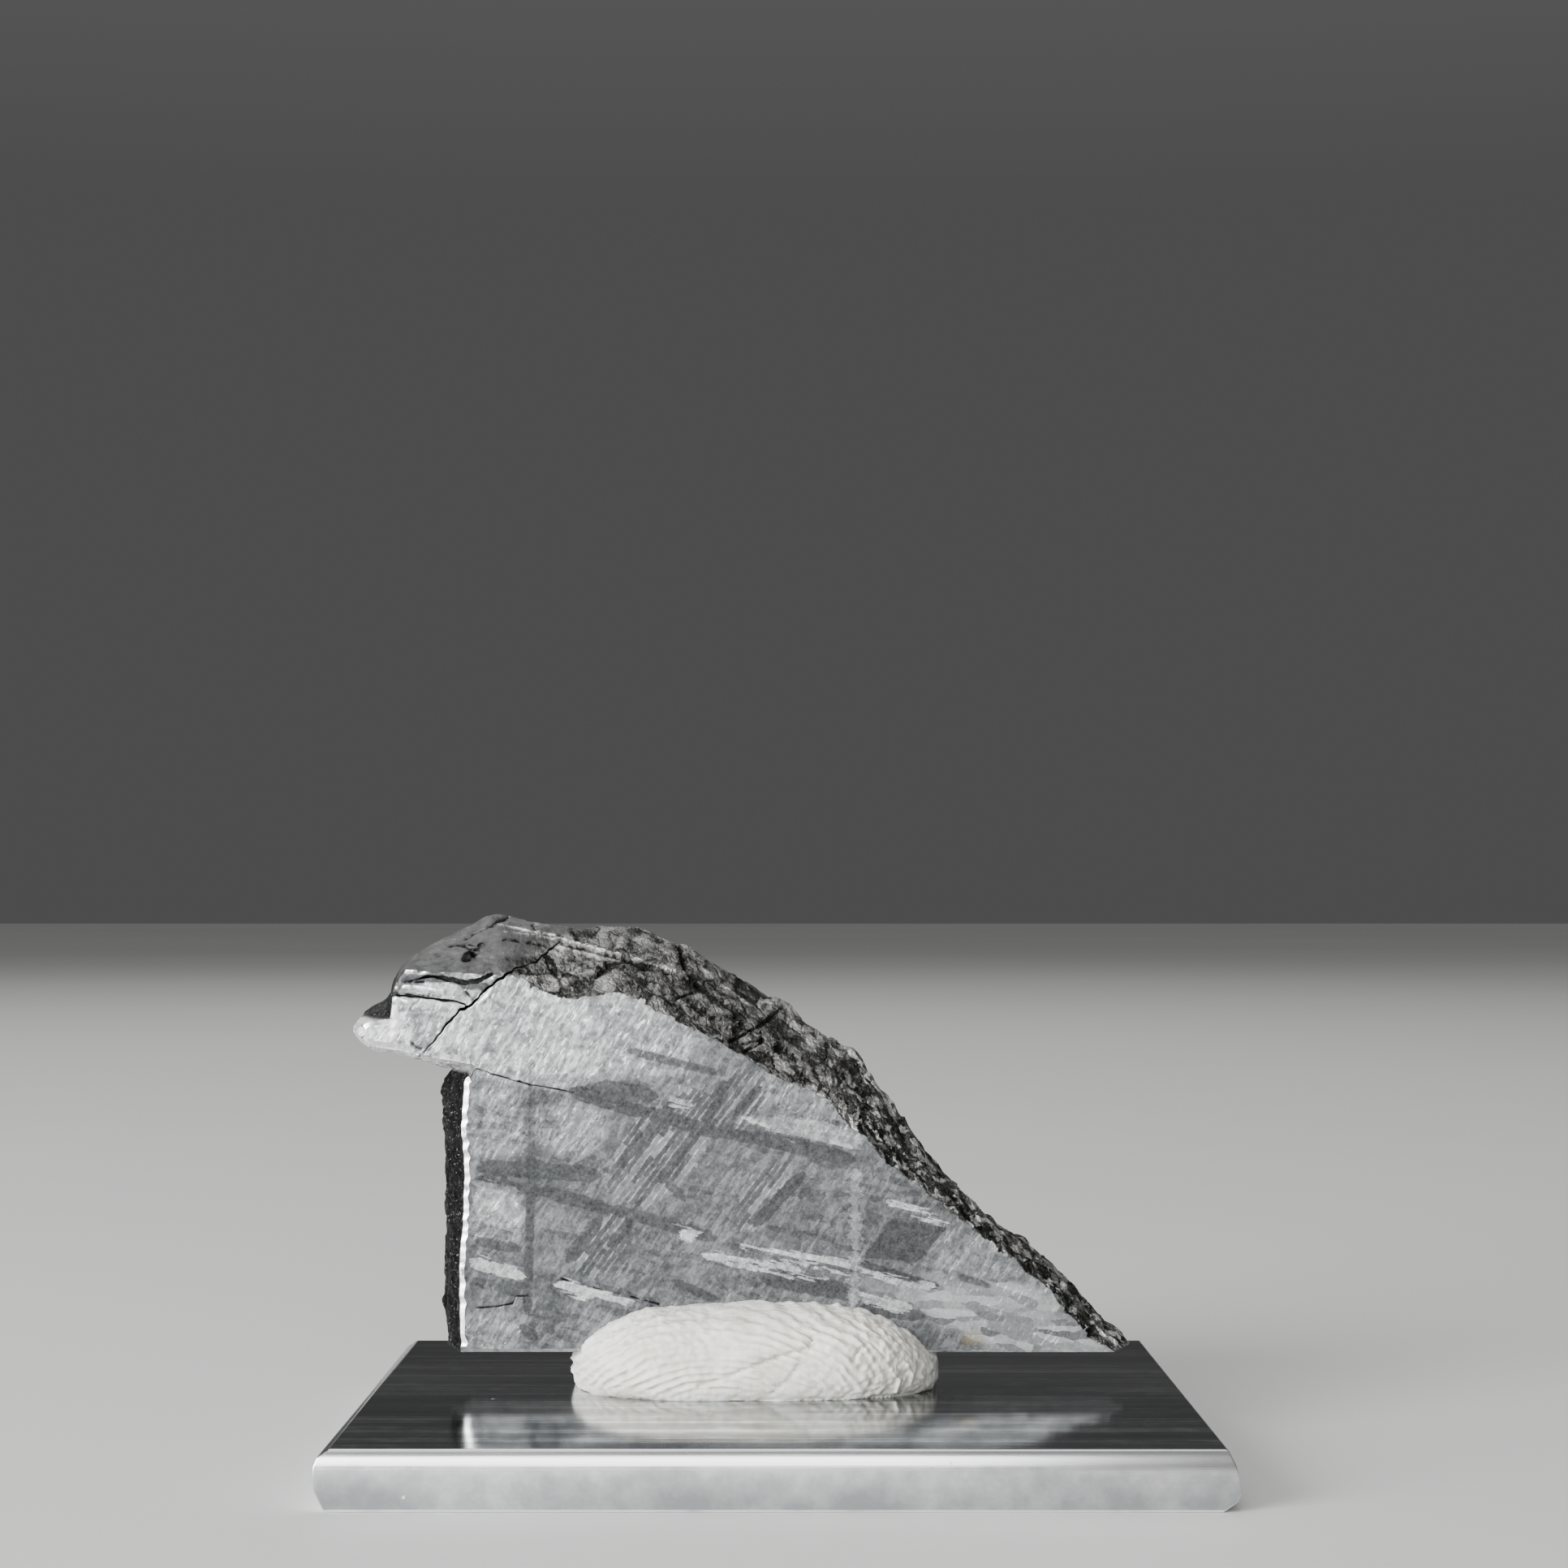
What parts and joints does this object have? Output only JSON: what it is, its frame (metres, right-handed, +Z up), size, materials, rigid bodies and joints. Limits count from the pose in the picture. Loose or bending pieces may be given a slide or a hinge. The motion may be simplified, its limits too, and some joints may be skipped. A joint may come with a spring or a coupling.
{
  "type": "mounted iron meteorite slice",
  "caption": "Etched slice of iron meteorite with natural crust, standing in a lump of putty on a flat metal base plate.",
  "frame": {"origin": "middle of the base plate's underside", "axes": "+Z up out of the plate, +X to the right along the slice's sawn face as seen from the front, +Y from the sawn face to the back"},
  "size_m": [0.0479, 0.0382, 0.0301],
  "materials": {
    "etched_iron": "etched grey metal on the sawn face, dark hackly crust elsewhere",
    "putty": "matte off-white putty",
    "plate_metal": "fine brushed, half mirror"
  },
  "bodies": {
    "root": {"meteorite": "etched_iron", "mounting_putty": "putty", "base_plate": "plate_metal"}
  },
  "joints": []
}
